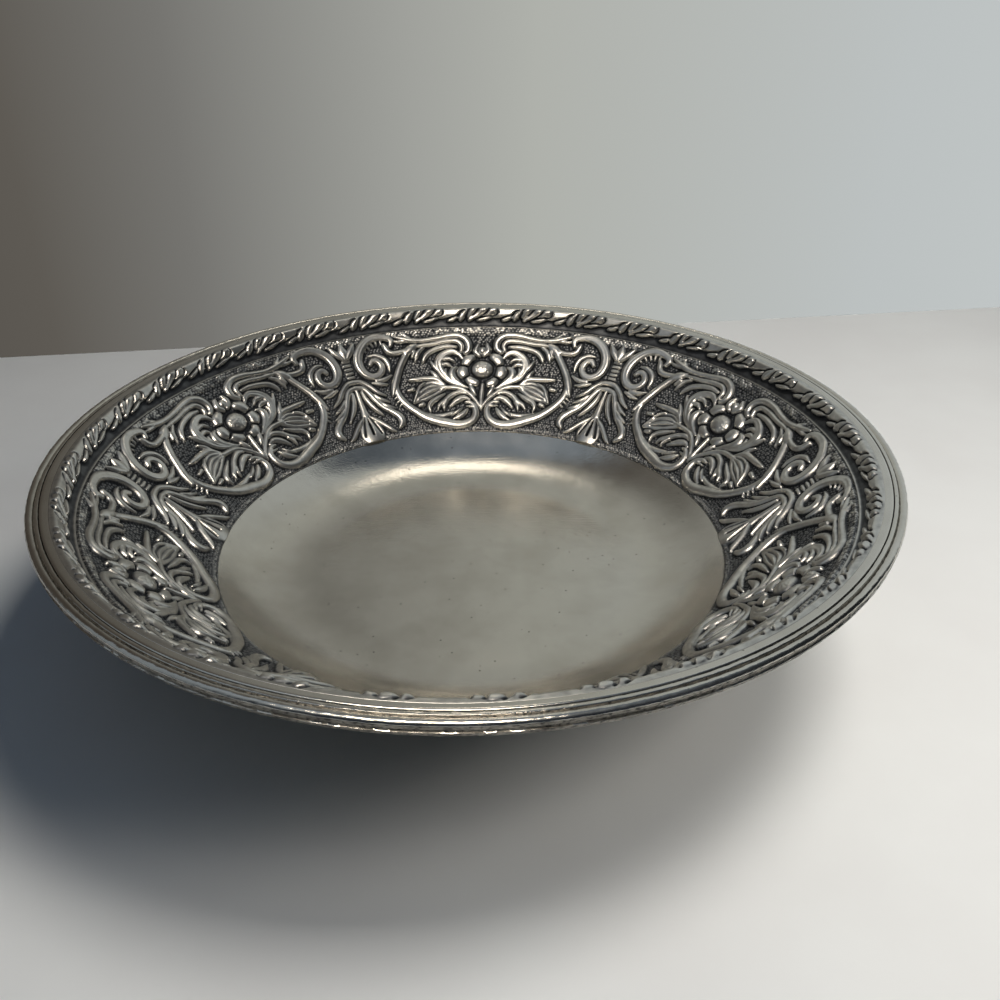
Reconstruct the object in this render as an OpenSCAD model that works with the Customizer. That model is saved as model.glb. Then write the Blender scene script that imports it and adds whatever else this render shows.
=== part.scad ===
// Round serving bowl of cast white metal. A plain well, a sloping band of scrollwork, a narrow leaf border
// and a moulded rim are stacked as rings, each seated in the one below it, and a foot ring carries them all.
// Millimetres, +Z up. The origin is the centre of the circle that the bowl stands on.

/* [Rim] */
// Diameter over the moulded edge
rim_d = 330; // [290:1:380]
// Width of the moulded edge, both of its beads together
edge_w = 5; // [4.2:0.1:7]
// Height of the moulded edge
edge_h = 5.3; // [4.6:0.1:7]
// Width of the thin bead on the inner side of the edge
bead_w = 1.9; // [1.4:0.1:2.4]
// How deep the channels beside the thin bead go
bead_channel = 1; // [0.6:0.1:1.2]
// How far the side of the edge leans in towards its foot
edge_lean = 0.7; // [0:0.1:1]
// Width of the side wall that hangs round the ledge
edge_skirt = 2; // [1.6:0.1:2.6]
// Width of the plain flat flange, from the leaf border's hollow to the edge
flange_w = 5.2; // [4.4:0.1:9]

/* [Leaf border] */
// Width of the hollow that holds the leaves, seen from above
border_w = 5.3; // [4:0.1:8]
// Depth of the hollow, from the flange to the top of the scroll band
border_drop = 9.1; // [8:0.1:12]
// How far the hollow curves in from a straight slope
border_sag = 1; // [0.4:0.1:1.4]
// Flat land above the hollow, which the leaf tips lie on
land_w = 2; // [1.2:0.1:2.6]
// Thickness of the ledge that carries the flange and the edge
ledge_t = 2; // [1.4:0.1:2.4]

/* [Scroll band] */
// Width of the band, seen from above
band_run = 45.2; // [38:0.1:52]
// Height of the band
band_drop = 39.6; // [34:0.1:46]
// How far the band curves in from a straight slope
band_sag = 1.4; // [0.6:0.1:2.2]
// How far the foot of the band stands in over the plain well
band_lip = 1; // [0.4:0.1:1.6]

/* [Scrollwork] */
// Number of flower panels round the band
panels = 6; // [5:1:7]
// How high the scrollwork stands on the band
relief_h = 1.4; // [0.8:0.1:2]

/* [Well] */
// Depth of the plain well below the band
well_drop = 14.8; // [12:0.1:19]
// Radius of the bend between the well's side and its floor
well_blend = 58; // [40:1:74]
// Thickness of the metal in the well and the band
wall = 4; // [3.2:0.1:5.5]

/* [Foot] */
// Outer diameter of the foot ring where it stands
foot_d = 124; // [100:1:130]
// Height of the foot ring below the floor of the well
foot_h = 12.5; // [6:0.1:18]
// Thickness of the foot ring
foot_wall = 5; // [3.5:0.1:8]
// How far the foot ring flares outwards towards its bottom
foot_flare = 1.5; // [0:0.1:4]

/* [Seats] */
// Height of the laps that register one ring on the next
lap_h = 2; // [1.2:0.1:2.6]
// Depth of the groove that the foot ring sits in
foot_groove = 1; // [0.6:0.1:1.6]
// Clearance round each lap, ring and groove, filled with solder
seat_gap = 0.15; // [0.08:0.01:0.25]

/* [Hidden] */
$fn = 180;

// Circle through two points that curves away from the straight line by the sag
function arc_radius(a, b, sag) = (norm(b - a) ^ 2 / 4 + sag ^ 2) / (2 * sag);
function arc_centre(a, b, sag) =
    (a + b) / 2 + (arc_radius(a, b, sag) - sag) * [a[1] - b[1], b[0] - a[0]] / norm(b - a);
// Radius at which a circle of the section crosses a height, on its outer side
function radius_at(centre, radius, height) = centre[0] + sqrt(radius ^ 2 - (height - centre[1]) ^ 2);

// Heights, from the table up
floor_z = foot_h + wall;
band_foot_z = floor_z + well_drop;
band_top_z = band_foot_z + band_drop;
rim_z = band_top_z + border_drop;
rim_under_z = rim_z - edge_h;
ledge_z = rim_under_z + ledge_t;

// Radii, from the rim in
rim_r = rim_d / 2;
flange_r = rim_r - edge_w;
border_r = flange_r - flange_w;
land_r = border_r + land_w;
band_top_r = border_r - border_w;
band_foot_r = band_top_r - band_run;
ledge_r = rim_r - edge_skirt;

// Curve of the scroll band
band_foot = [band_foot_r, band_foot_z];
band_top = [band_top_r, band_top_z];
band_curve_r = arc_radius(band_foot, band_top, band_sag);
band_curve_c = arc_centre(band_foot, band_top, band_sag);
band_turn = asin(norm(band_top - band_foot) / 2 / band_curve_r);
foot_slope = atan2(band_drop, band_run) - band_turn;
band_back_r = radius_at(band_curve_c, band_curve_r + wall, band_top_z);

// Flat drawing of half a panel, which the band's curve and the panel's angle stretch to their own sizes.
// Places are [u, v]: u from the middle of the flower panel, v from the foot of the band. Strokes add a width.
draw_w = 67.8;
draw_h = 60.1;
frame_stroke = [
    [8, 15.6, 2.6], [4.2, 9, 4.4], [12, 4.6, 5], [27, 6.6, 5.6],
    [40.6, 15.6, 4.8], [46.2, 27, 4], [36.8, 47.4, 3.6]
];
tulip_stroke = [[3, 17.4, 2.4], [12, 24.4, 2.8], [21, 25.8, 3.2], [28, 25.2, 9], [37.6, 18.6, 2.4]];
leaf_stroke = [[12.4, 27, 2.6], [20, 32, 4], [22, 39, 4.4], [17, 44.8, 3.6]];
top_stroke = [[9, 46, 2.8], [7, 51, 3.8], [14, 54.8, 4.2], [29, 53.2, 4], [40, 56, 2.6]];
flower_at = [0, 35.4];
flower_r = 5.4;
petals = [[8.4, 39.8], [9.2, 31.6]];
petal_r = 3.6;
bud_at = [0, 46.4];
bud_r = 3.4;
volute_at = [55, 46.6];
volute_r = 8.8;
volute_w = 4;
// Strokes of the pendant between two panels, with u from the pendant's own middle
strand_stroke = [[3, 31.4, 2.8], [8.4, 22.8, 3], [16, 15, 3.4], [19.4, 8, 4]];
bell_stroke = [[0, 33, 2.4], [0, 17, 4], [0, 11, 9], [0, 5, 13]];
tassel_stroke = [[0, 49.4, 3], [0, 53.2, 5.6], [0, 57.4, 2.4]];
// How deep the ornament is rooted in the band, and how far its prisms reach before they are trimmed
root_d = wall * 0.3;
prism_h = root_d + relief_h * 6;

// Curve of the leaf border's hollow
hollow_top = [border_r, rim_z];
hollow_curve_r = arc_radius(band_top, hollow_top, border_sag);
hollow_curve_c = arc_centre(band_top, hollow_top, border_sag);

// Curve of the well: a side at the band's own slope, a bend and a flat floor
well_top_r = band_foot_r + band_lip;
bend_r = min(well_blend, well_drop / (1 - cos(foot_slope)));
side_drop = well_drop - bend_r * (1 - cos(foot_slope));
floor_r = well_top_r - side_drop / tan(foot_slope) - bend_r * sin(foot_slope);
bend_c = [floor_r, floor_z + bend_r];

// Laps stand on the outer half of the wall
well_lap_r = well_top_r + wall / sin(foot_slope) / 2;
band_lap_r = (band_top_r + band_back_r) / 2;
foot_top_r = foot_d / 2 - foot_flare;

polished = "#b9b6ae";
antiqued = "#7f7d7a";
as_cast = "#9b9993";

// Section of the space inside the well, out to a given radius of its bend
module well_space(radius) {
    bend_end = bend_c + radius * [sin(foot_slope), -cos(foot_slope)];
    bottom_z = bend_c[1] - radius;
    top_z = bend_c[1] + rim_z;
    top_r = bend_end[0] + (top_z - bend_end[1]) / tan(foot_slope);
    polygon([[0, bottom_z], [floor_r, bottom_z], bend_c, bend_end, [top_r, top_z], [0, top_z]]);
    intersection() {
        translate(bend_c) circle(radius);
        polygon([bend_c, [floor_r, bottom_z], [bend_end[0], bottom_z], bend_end]);
    }
}

// Point of the band at a place on the drawing, and the directions out of the metal, along the band and up it
function band_angle(v) =
    let (foot = band_foot - band_curve_c, top = band_top - band_curve_c)
    let (low = atan2(foot[1], foot[0]), high = atan2(top[1], top[0]))
    low + (high - low) * v / draw_h;
function round_axis(p, u) = let (a = 90 - u / draw_w * 180 / panels) [p[0] * cos(a), p[0] * sin(a), p[1]];
function on_band(u, v) =
    round_axis(band_curve_c + band_curve_r * [cos(band_angle(v)), sin(band_angle(v))], u);
function out_of(u, v) = round_axis(-[cos(band_angle(v)), sin(band_angle(v))], u);
function along(u, v) = cross([0, 0, 1], out_of(u, v)) / norm(cross([0, 0, 1], out_of(u, v)));
function up_band(u, v) = cross(out_of(u, v), along(u, v));

// Side line of a stroke: each point moved out by half its width, square to the stroke there
function stroke_side(s, side) = [
    for (i = [0 : len(s) - 1])
        let (step = s[min(i + 1, len(s) - 1)] - s[max(i - 1, 0)], way = [step[0], step[1]])
        [s[i][0], s[i][1]] + side * s[i][2] / 2 * [-way[1], way[0]] / norm(way)
];
function reversed(list) = [for (i = [len(list) - 1 : -1 : 0]) list[i]];

// Sets its children square to the band at a place on the drawing, rooted in the metal
module square_to_band(u, v) {
    columns = [along(u, v), up_band(u, v), out_of(u, v), on_band(u, v)];
    multmatrix([for (i = [0 : 2]) [for (c = columns) c[i]]])
        translate([0, 0, -root_d]) children();
}

// Prism over a stroke of the drawing, square to the band at the middle of the stroke
module stroke(s, turn = 0, flip = 1) {
    u = flip * (s[0][0] + s[len(s) - 1][0]) / 2 + turn;
    v = (s[0][1] + s[len(s) - 1][1]) / 2;
    square_to_band(u, v) linear_extrude(prism_h) polygon([
        for (p = concat(stroke_side(s, 1), reversed(stroke_side(s, -1))))
            let (q = on_band(flip * p[0] + turn, p[1]) - on_band(u, v))
            [q * along(u, v), q * up_band(u, v)]
    ]);
}

// Round boss of the drawing
module boss(at, radius, flip = 1) {
    square_to_band(flip * at[0], at[1]) cylinder(r = radius, h = prism_h);
}

// Ornament of one flower panel and of the pendant beside it, not yet trimmed to its height
module panel_ornament() {
    for (flip = [-1, 1]) {
        for (s = [frame_stroke, tulip_stroke, leaf_stroke, top_stroke]) stroke(s, 0, flip);
        stroke(strand_stroke, draw_w, flip);
        for (at = petals) boss(at, petal_r, flip);
        difference() {
            boss(volute_at, volute_r + volute_w / 2, flip);
            boss(volute_at, volute_r - volute_w / 2, flip);
        }
    }
    boss(flower_at, flower_r);
    boss(bud_at, bud_r);
    stroke(bell_stroke, draw_w);
    stroke(tassel_stroke, draw_w);
}

// Ring section between two heights, outside a radius
module ring_space(inner_r, low_z, high_z) {
    translate([inner_r, low_z]) square([rim_r, high_z - low_z]);
}

module foot_ring() {
    top_z = foot_h + foot_groove;
    color(as_cast) rotate_extrude()
        polygon([
            [foot_d / 2 - foot_wall, 0], [foot_d / 2, 0],
            [foot_top_r, top_z], [foot_top_r - foot_wall, top_z]
        ]);
}

module well() {
    color(polished) rotate_extrude() difference() {
        intersection() {
            well_space(bend_r + wall);
            square([rim_r, band_foot_z + lap_h]);
        }
        well_space(bend_r);
        translate([0, band_foot_z]) square([well_lap_r, rim_z]);
        translate([foot_top_r - foot_wall - seat_gap, 0])
            square([foot_wall + 2 * seat_gap, foot_h + foot_groove]);
    }
}

// Section of the space inside the band, out to a given radius of its curve
module band_space(radius) {
    intersection() {
        translate(band_curve_c) circle(radius);
        square([rim_r, 2 * rim_z]);
    }
}

// The band with its scrollwork. The ornament's prisms stand on the raw ring, and the space inside the band,
// the laps and the foot are cut from both together.
module scroll_band() {
    color(antiqued) difference() {
        union() {
            rotate_extrude() difference() {
                intersection() {
                    translate(band_curve_c) circle(band_curve_r + wall);
                    ring_space(floor_r, band_foot_z - lap_h, band_top_z + lap_h);
                }
                translate(band_curve_c) circle(band_curve_r);
            }
            for (k = [0 : panels - 1]) rotate(k * 360 / panels) panel_ornament();
        }
        rotate_extrude() {
            band_space(band_curve_r - relief_h);
            square([rim_r, band_foot_z]);
            ring_space(well_lap_r - seat_gap, 0, band_foot_z + lap_h + seat_gap);
            translate([0, band_top_z]) square([band_lap_r, rim_z]);
            ring_space(band_back_r, band_top_z, rim_z);
        }
    }
}

module leaf_border() {
    lap_r = band_lap_r - seat_gap;
    lap_z = band_top_z + lap_h + seat_gap;
    color(antiqued) rotate_extrude() difference() {
        polygon([
            band_top, [lap_r, band_top_z], [lap_r, lap_z], [band_back_r, lap_z],
            [ledge_r - seat_gap, rim_under_z], [ledge_r - seat_gap, ledge_z],
            [land_r, ledge_z], [land_r, rim_z], hollow_top
        ]);
        translate(hollow_curve_c) circle(hollow_curve_r);
    }
}

module rim_flange() {
    color(polished) rotate_extrude()
        translate([land_r + seat_gap, ledge_z])
        square([flange_r - land_r - seat_gap, rim_z - ledge_z]);
}

module rim_edge() {
    inner_r = flange_r + seat_gap;
    roll_w = rim_r - inner_r - bead_w;
    channel_z = rim_z - bead_channel;
    roll_z = rim_z - roll_w / 2;
    color(as_cast) rotate_extrude() {
        translate([inner_r, ledge_z]) square([bead_w + roll_w / 2, channel_z - ledge_z]);
        translate([inner_r + bead_w / 2, rim_z - bead_w / 2]) circle(d = bead_w);
        translate([rim_r - roll_w / 2, roll_z]) circle(d = roll_w);
        polygon([
            [ledge_r, rim_under_z], [rim_r - edge_lean, rim_under_z], [rim_r, roll_z],
            [rim_r - roll_w / 2, roll_z], [ledge_r, ledge_z]
        ]);
    }
}

foot_ring();
well();
scroll_band();
leaf_border();
rim_flange();
rim_edge();
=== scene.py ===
# %% [markdown]
# The object is a round serving bowl of cast white metal: a plain buffed well, a sloping band of scrollwork,
# a narrow border of leaves and a moulded rim, on a plain foot ring. The frame holds its six rings as exact
# solids, so most sizes below are read from the frame. The lesson then gives each ring its real skin.

# %% Load the frame
import math
import bpy
import numpy as np
from mathutils import Matrix, Vector


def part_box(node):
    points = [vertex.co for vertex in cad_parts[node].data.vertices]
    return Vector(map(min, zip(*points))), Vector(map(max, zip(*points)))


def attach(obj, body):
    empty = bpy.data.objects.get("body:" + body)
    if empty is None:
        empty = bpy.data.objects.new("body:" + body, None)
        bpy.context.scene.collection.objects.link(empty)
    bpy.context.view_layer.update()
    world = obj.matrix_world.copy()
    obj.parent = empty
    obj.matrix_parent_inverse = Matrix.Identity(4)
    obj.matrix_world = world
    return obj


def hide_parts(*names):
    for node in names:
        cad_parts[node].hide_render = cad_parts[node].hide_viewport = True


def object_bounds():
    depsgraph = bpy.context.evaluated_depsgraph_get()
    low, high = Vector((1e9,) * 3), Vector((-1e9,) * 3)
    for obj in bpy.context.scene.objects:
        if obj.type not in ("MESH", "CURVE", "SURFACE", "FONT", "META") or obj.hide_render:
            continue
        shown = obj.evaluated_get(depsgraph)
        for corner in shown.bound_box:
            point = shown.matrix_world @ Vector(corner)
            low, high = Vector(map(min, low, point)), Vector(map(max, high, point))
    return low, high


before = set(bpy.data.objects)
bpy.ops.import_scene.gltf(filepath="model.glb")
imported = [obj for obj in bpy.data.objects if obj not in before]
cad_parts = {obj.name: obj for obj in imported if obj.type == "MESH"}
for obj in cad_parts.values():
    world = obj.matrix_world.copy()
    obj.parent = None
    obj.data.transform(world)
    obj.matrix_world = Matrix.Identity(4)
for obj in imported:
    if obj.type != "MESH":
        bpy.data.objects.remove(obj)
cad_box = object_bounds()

MM = 0.001
scene = bpy.context.scene
bowl_d = (cad_box[1].x - cad_box[0].x) / MM
print(f"frame: {sorted(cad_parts)}, {bowl_d:.1f} mm across")

# %% [markdown]
# A ring's section says most of what its solid says, so two small tools read it. One finds the narrowest radius
# of a ring at a height. The other lets down plumb lines at a radius, in steps along one flower panel, and takes
# the lowest place where they meet the metal, which is the ground between the raised ornament.

# %% Measure the rings
PANELS = 6
PLUMB_TURNS = [math.radians(0.7 + 2.5 * k) for k in range(24)]


def inner_radius(node, height):
    """Smallest radius, in millimetres, of a ring's corners at a height."""
    corners = np.array([v.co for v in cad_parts[node].data.vertices]) / MM
    level = np.abs(corners[:, 2] - height) < 0.01
    return float(np.hypot(corners[level, 0], corners[level, 1]).min())


def plumb(node, radius, below=False):
    """Lowest height, in millimetres, at which plumb lines meet a ring, from above or from below."""
    heights = []
    for turn in PLUMB_TURNS:
        start = Vector((radius * math.cos(turn), radius * math.sin(turn), -50 if below else 150)) * MM
        hit, place, _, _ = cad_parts[node].ray_cast(start, Vector((0, 0, 1 if below else -1)))
        if hit:
            heights.append(place.z / MM)
    if not heights:
        raise ValueError(f"{node} has no metal at radius {radius:.2f} mm")
    return min(heights)


rim_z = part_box("rim_edge")[1].z / MM
rim_r = bowl_d / 2
band_foot_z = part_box("scroll_band")[0].z / MM
band_top_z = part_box("leaf_border")[0].z / MM
band_foot_r = inner_radius("scroll_band", band_foot_z)
band_top_r = inner_radius("leaf_border", band_top_z)
border_r = inner_radius("leaf_border", rim_z)
land_r = inner_radius("rim_flange", rim_z)
flange_r = inner_radius("rim_edge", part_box("rim_flange")[0].z / MM)
well_top_r = inner_radius("well", band_foot_z)
floor_z = plumb("well", 5)
print(f"band from r {band_foot_r:.1f} z {band_foot_z:.1f} to r {band_top_r:.1f} z {band_top_z:.1f} mm")
print(f"rim at z {rim_z:.1f}, leaf border out to r {border_r:.1f}, flange r {land_r:.1f} to {flange_r:.1f} mm")

# %% [markdown]
# The photograph looks down into the bowl from close by, a little to one side of a flower panel. A camera could
# be placed by eye, but the rim's ellipse gives it better: how far back and how high it stands, and how it is
# tilted. A flower panel points along +Y in the frame, so the camera, not the bowl, is turned to its place.

# %% Camera
CAMERA_BACK = 354.6
CAMERA_OVER_RIM = 175.1
CAMERA_LENS = 35.57
PANEL_TURN = math.radians(3.1)
YAW, PITCH, ROLL = (math.radians(a) for a in (1.91, -30.0, -0.23))

camera = bpy.data.objects.new("camera", bpy.data.cameras.new("camera"))
scene.collection.objects.link(camera)
camera.data.lens = CAMERA_LENS
camera.data.sensor_width = 36
camera.data.clip_start = 0.01
camera.matrix_world = (
    Matrix.Rotation(PANEL_TURN, 4, "Z")
    @ Matrix.Translation(Vector((0, -CAMERA_BACK, rim_z + CAMERA_OVER_RIM)) * MM)
    @ Matrix.Rotation(-YAW, 4, "Z")
    @ Matrix.Rotation(math.pi / 2 + PITCH, 4, "X")
    @ Matrix.Rotation(ROLL, 4, "Z")
)
scene.camera = camera
scene.view_settings.view_transform = "Standard"
print("camera at", [round(c, 3) for c in camera.matrix_world.translation])

# %% [markdown]
# Materials are small trees of nodes. One function adds a node, sets its properties and fills its inputs: an
# input that is given another node's socket is linked, any other value is set. Where the node is a colour ramp it
# also sets the stops. A second one turns the sRGB hex colours that people read off a picture into the linear
# numbers that the renderer adds up.

# %% Colour and node tools
def linear(hex_colour):
    """Linear RGBA of an sRGB hex colour."""
    srgb = [int(hex_colour[i : i + 2], 16) / 255 for i in (1, 3, 5)]
    return [c / 12.92 if c <= 0.04045 else ((c + 0.055) / 1.055) ** 2.4 for c in srgb] + [1.0]


def add(tree, kind, inputs=None, stops=(), **settings):
    """Adds a node with its settings, sets or links its inputs, and sets a ramp's (place, hex colour) stops."""
    node = tree.nodes.new(kind)
    for name, value in settings.items():
        setattr(node, name, value)
    for name, value in (inputs or {}).items():
        if isinstance(value, bpy.types.NodeSocket):
            tree.links.new(value, node.inputs[name])
        else:
            node.inputs[name].default_value = value
    for k, (place, colour) in enumerate(stops):
        marks = node.color_ramp.elements
        mark = marks[k] if k < len(marks) else marks.new(place)
        mark.position = place
        mark.color = linear(colour)
    return node


def new_material(name):
    """An empty material, and the tree to build it in."""
    material = bpy.data.materials.new(name)
    material.use_nodes = True
    tree = material.node_tree
    tree.nodes.clear()
    return material, tree


def millimetres(tree):
    """Object coordinates in millimetres, so that a pattern's scale is one over its real size."""
    place = add(tree, "ShaderNodeTexCoord").outputs["Object"]
    return add(tree, "ShaderNodeVectorMath", {0: place, 3: 1 / MM}, operation="SCALE").outputs[0]


print("node tools ready")

# %% [markdown]
# Metal shows little colour of its own: most of what the eye reads is what it mirrors. So the studio is painted
# with care, by direction; one even grey would make the bowl look flat. One sky lights the floor: dark and warm on
# the left, paler on the right, bluish overhead. A second one is there for mirrors alone, and darkens to the right
# and low behind the camera. The camera itself sees a plain pale one.

# %% Skies
SIDES = ("#33322f", "#5a5d5f", "#6f7678")
OVERHEAD = ("#4f6076", "#4f6076", "#4f6076")
MIRROR_SIDES = ("#858d94", "#6c6f71", "#26292c")
MIRROR_OVERHEAD = ("#8e99a5", "#7b8693", "#2e343b")
BEHIND_CAMERA = "#2b3038"
SEEN_WORLD = "#cfd2d2"
LEFT, RIGHT = -0.7, 0.7
OVERHEAD_FROM, OVERHEAD_FULL = 0.45, 0.9
BEHIND_FROM, BEHIND_FULL = -0.35, -0.7
LOW_FULL, LOW_TO = 0.55, 0.75

world = bpy.data.worlds.new("studio")
scene.world = world
world.use_nodes = True
tree = world.node_tree
tree.nodes.clear()
path = add(tree, "ShaderNodeLightPath")
way = add(tree, "ShaderNodeSeparateXYZ", {0: add(tree, "ShaderNodeTexCoord").outputs["Generated"]})
across = add(tree, "ShaderNodeMapRange", {0: way.outputs["X"], 1: LEFT, 2: RIGHT}).outputs[0]
height = add(tree, "ShaderNodeMapRange", {0: way.outputs["Z"], 1: OVERHEAD_FROM, 2: OVERHEAD_FULL}).outputs[0]
skies = []
for sides, overhead in ((SIDES, OVERHEAD), (MIRROR_SIDES, MIRROR_OVERHEAD)):
    around, above = (add(tree, "ShaderNodeValToRGB", {0: across}, zip((0.0, 0.5, 1.0), colours)).outputs[0]
                     for colours in (sides, overhead))
    skies.append(add(tree, "ShaderNodeMix", {0: height, 6: around, 7: above}, data_type="RGBA").outputs[2])
behind = add(tree, "ShaderNodeMapRange", {0: way.outputs["Y"], 1: BEHIND_FROM, 2: BEHIND_FULL}).outputs[0]
low = add(tree, "ShaderNodeMapRange", {0: way.outputs["Z"], 1: LOW_FULL, 2: LOW_TO, 3: 1.0, 4: 0.0}).outputs[0]
quarter = add(tree, "ShaderNodeMath", {0: behind, 1: low}, operation="MULTIPLY").outputs[0]
mirrored = add(tree, "ShaderNodeMix", {0: quarter, 6: skies[1], 7: linear(BEHIND_CAMERA)},
               data_type="RGBA").outputs[2]
unseen = add(tree, "ShaderNodeMix", {0: path.outputs["Is Glossy Ray"], 6: skies[0], 7: mirrored},
             data_type="RGBA").outputs[2]
shown = add(tree, "ShaderNodeMix", {0: path.outputs["Is Camera Ray"], 6: unseen, 7: linear(SEEN_WORLD)},
            data_type="RGBA").outputs[2]
background = add(tree, "ShaderNodeBackground", {"Color": shown})
add(tree, "ShaderNodeOutputWorld", {0: background.outputs[0]})
print("skies painted")

# %% [markdown]
# The bowl stands on a plain pale floor, a satin laminate with a faint mottle. The floor shows from its front
# only, so that it hides nothing when the bowl is looked at from below.

# %% Floor
FLOOR_COLOUR, FLOOR_MOTTLE = "#ecece9", "#e7e6e3"
FLOOR_ROUGH = 0.45
MOTTLE_SIZE = 90
FLOOR_R = 3.0


def front_only(tree, shader):
    """Lets a surface show from its front alone."""
    back = add(tree, "ShaderNodeNewGeometry").outputs["Backfacing"]
    clear = add(tree, "ShaderNodeBsdfTransparent")
    return add(tree, "ShaderNodeMixShader", {0: back, 1: shader.outputs[0], 2: clear.outputs[0]}).outputs[0]


bpy.ops.object.select_all(action="DESELECT")
bpy.ops.mesh.primitive_circle_add(vertices=96, radius=FLOOR_R, fill_type="NGON")
floor = bpy.context.object
floor.name = "floor"
laminate, tree = new_material("pale satin laminate")
mottle = add(tree, "ShaderNodeTexNoise", {
    "Vector": millimetres(tree), "Scale": 1 / MOTTLE_SIZE, "Detail": 5.0}).outputs[0]
tone = add(tree, "ShaderNodeValToRGB", {0: mottle}, ((0.35, FLOOR_MOTTLE), (0.65, FLOOR_COLOUR))).outputs[0]
shader = add(tree, "ShaderNodeBsdfPrincipled", {"Base Color": tone, "Roughness": FLOOR_ROUGH})
add(tree, "ShaderNodeOutputMaterial", {0: front_only(tree, shader)})
floor.data.materials.append(laminate)
print(f"floor {2 * FLOOR_R:.0f} m across")

# %% [markdown]
# Behind the bowl hangs a plain sheet of paper. It glows for the camera and for mirrors, but it sheds no light and
# throws no shadow. Its glow is painted light: dark on the left and paler towards the right, a painted falloff of
# the light across it. It too shows from its front only, to leave the views from behind free.

# %% Backdrop
BACKDROP_WIDE, BACKDROP_HIGH = 2.6, 1.2
BACKDROP_BEHIND = 0.328
BACKDROP_TURN = math.radians(5.6)
SHADED_HALF = 0.5
BACKDROP_PAINTED_FALLOFF = (
    (-0.5, "#4a4540"), (-0.3, "#5e5a54"), (-0.2, "#757470"), (-0.05, "#a0a19c"), (0.03, "#afb1ab"),
    (0.28, "#bcc1c1"), (0.5, "#c4c9c9"))

bpy.ops.mesh.primitive_plane_add(size=1)
backdrop = bpy.context.object
backdrop.name = "backdrop"
backdrop.data.transform(
    Matrix.Rotation(PANEL_TURN + BACKDROP_TURN, 4, "Z")
    @ Matrix.Translation((0, BACKDROP_BEHIND, BACKDROP_HIGH / 2))
    @ Matrix.Rotation(math.pi / 2, 4, "X")
    @ Matrix.Diagonal((BACKDROP_WIDE, BACKDROP_HIGH, 1, 1)))
paper, tree = new_material("backdrop paper with painted falloff")
place = add(tree, "ShaderNodeSeparateXYZ", {0: add(tree, "ShaderNodeTexCoord").outputs["Object"]})
across = add(tree, "ShaderNodeMapRange", {0: place.outputs["X"], 1: -SHADED_HALF, 2: SHADED_HALF}).outputs[0]
# painted light: the sheet's colour runs from dark on the left to pale on the right, a painted falloff
painted_falloff = add(tree, "ShaderNodeValToRGB", {0: across}, [
    (0.5 + x / (2 * SHADED_HALF), colour) for x, colour in BACKDROP_PAINTED_FALLOFF])
path = add(tree, "ShaderNodeLightPath")
shows = add(tree, "ShaderNodeMath", {0: path.outputs["Is Camera Ray"], 1: path.outputs["Is Glossy Ray"]},
            operation="MAXIMUM").outputs[0]
glow = add(tree, "ShaderNodeEmission", {"Color": painted_falloff.outputs[0], "Strength": shows})
add(tree, "ShaderNodeOutputMaterial", {0: front_only(tree, glow)})
backdrop.data.materials.append(paper)
backdrop.visible_shadow = False
print(f"backdrop {BACKDROP_BEHIND / MM:.0f} mm behind the middle of the bowl")

# %% [markdown]
# Four soft lamps do the rest. The key hangs high on the right and throws the bowl's shadow to the left, and a
# smaller one close by on the camera's side reaches in under the rim. Both are hidden from mirrors, or they would
# leave bright patches in the metal. The other two show in mirrors only: a narrow one behind the bowl draws the
# bright bar on the far bend of the well, and a broad warm one over the camera lights the far scrolls.

# %% Lamps
def soft_lamp(name, place, aim, size, watts, colour):
    """A rectangular lamp that looks at a point; places in metres."""
    lamp = bpy.data.lights.new(name, "AREA")
    lamp.shape = "RECTANGLE"
    lamp.size, lamp.size_y = size
    lamp.energy = watts
    lamp.color = linear(colour)[:3]
    holder = bpy.data.objects.new(name, lamp)
    scene.collection.objects.link(holder)
    holder.location = place
    holder.rotation_euler = (Vector(aim) - Vector(place)).to_track_quat("-Z", "Y").to_euler()
    return holder


key_lamp = soft_lamp("key_lamp", (0.37, 0.0, 0.9), (0.2, 0, 0), (0.35, 0.35), 5.7, "#fffcf7")
side_lamp = soft_lamp("side_lamp", (0.415, -0.268, 0.42), (0, 0, 0.04), (0.18, 0.18), 1.1, "#fffaf2")
bar_lamp = soft_lamp("bar_lamp", (-0.005, 0.262, 0.494), (0.0, 0.075, 0.03), (0.095, 0.06), 0.06, "#fff3e2")
room_lamp = soft_lamp("room_lamp", (-0.1, -0.5, 1.0), (0, 0.05, 0.05), (0.5, 0.3), 7.5, "#fff1de")
key_lamp.visible_glossy = side_lamp.visible_glossy = False
bar_lamp.visible_diffuse = room_lamp.visible_diffuse = False
print("lamps made")

# %% [markdown]
# All the metal is one alloy, and its looks differ only in how the surface was left. The well and the flange
# were buffed on a wheel: they keep a soft mirror with a faint grain, cloudy patches and a few dark pits. A grey of
# one roughness would look like new chrome, so noises of several sizes vary the roughness, the tone and the slope.
# Their sizes are in millimetres; the finest, the buffing marks, are drawn coarser than they are, to show at all.

# %% Buffed white metal
WHITE_METAL, WHITE_METAL_DULL, PIT_COLOUR = "#d1cec6", "#c3bfb6", "#6b6760"
CLOUD_SIZE, FINE_GRAIN, STREAK_WIDE, PIT_SPACING, DENT_SIZE = 22, 0.8, 0.9, 5.5, 5
BUFFING_TURN, BUFFING_STRETCH = 0.5, (0.04, 1.6, 1.0)


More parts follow.
